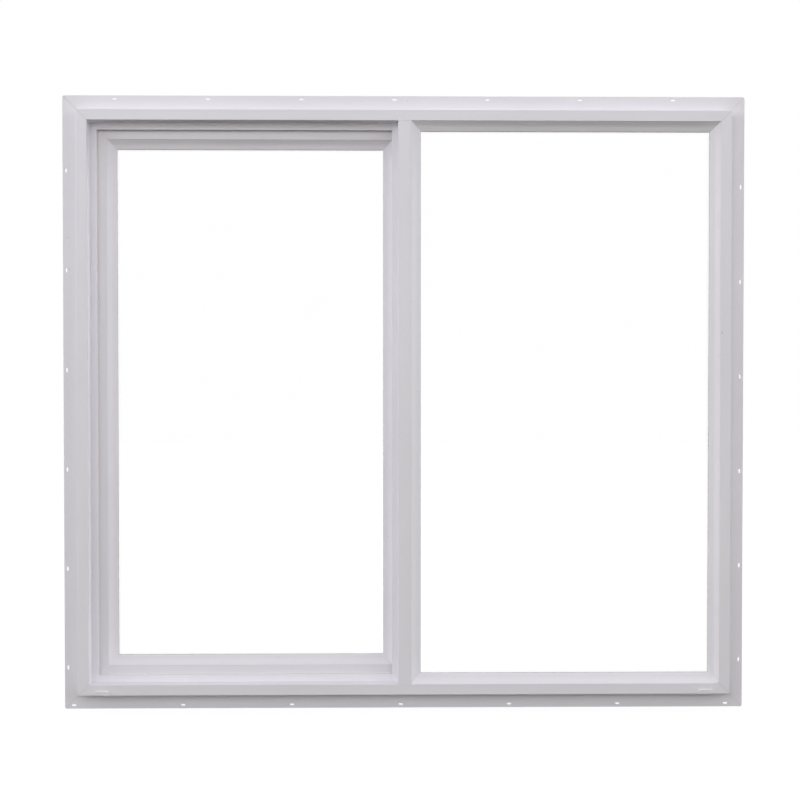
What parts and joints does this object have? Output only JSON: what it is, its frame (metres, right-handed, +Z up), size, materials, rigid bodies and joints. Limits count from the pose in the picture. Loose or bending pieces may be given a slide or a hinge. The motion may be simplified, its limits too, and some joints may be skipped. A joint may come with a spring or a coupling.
{
  "type": "horizontal sliding window",
  "caption": "White vinyl horizontal sliding window with a slotted nailing fin, a fixed light, a roller-borne sash in an inner track, hollow-sloped glazing beads and insulating glass",
  "frame": {"origin": "middle of the sill, where the frame's underside meets the back of the nailing fin", "axes": "+X to the right seen from outdoors, +Y indoors, +Z up"},
  "size_m": [1.584, 0.0962, 1.425],
  "materials": {
    "vinyl": "satin white extrusion",
    "moulded_plastic": "white moulding",
    "glass": "clear float glass",
    "spacer": "mill finish",
    "gasket": "grey glazing seal",
    "pile": "pale woven pile",
    "roller_plastic": "nylon",
    "steel": "plated strip"
  },
  "bodies": {
    "root": {"fixed_glass_spacer": "spacer", "fixed_glazing_gasket": "gasket", "fixed_head_bead": "vinyl", "fixed_inner_pane": "glass", "fixed_jamb_bead": "vinyl", "fixed_meeting_stile": "vinyl", "fixed_outer_pane": "glass", "fixed_sill_bead": "vinyl", "fixed_stile_bead": "vinyl", "head_frame": "vinyl", "latch_case": "moulded_plastic", "latch_keeper": "steel", "latch_lever": "moulded_plastic", "left_jamb_frame": "vinyl", "left_roller_housing": "roller_plastic", "left_roller_wheel": "roller_plastic", "left_weep_cover": "moulded_plastic", "right_jamb_frame": "vinyl", "right_roller_housing": "roller_plastic", "right_roller_wheel": "roller_plastic", "right_weep_cover": "moulded_plastic", "sash_bottom_bead": "vinyl", "sash_bottom_rail": "vinyl", "sash_glass_spacer": "spacer", "sash_glazing_gasket": "gasket", "sash_indoor_pile": "pile", "sash_inner_pane": "glass", "sash_meeting_bead": "vinyl", "sash_meeting_stile": "vinyl", "sash_outdoor_pile": "pile", "sash_outer_pane": "glass", "sash_pull_bead": "vinyl", "sash_pull_stile": "vinyl", "sash_top_bead": "vinyl", "sash_top_rail": "vinyl", "sill_frame": "vinyl"}
  },
  "joints": []
}
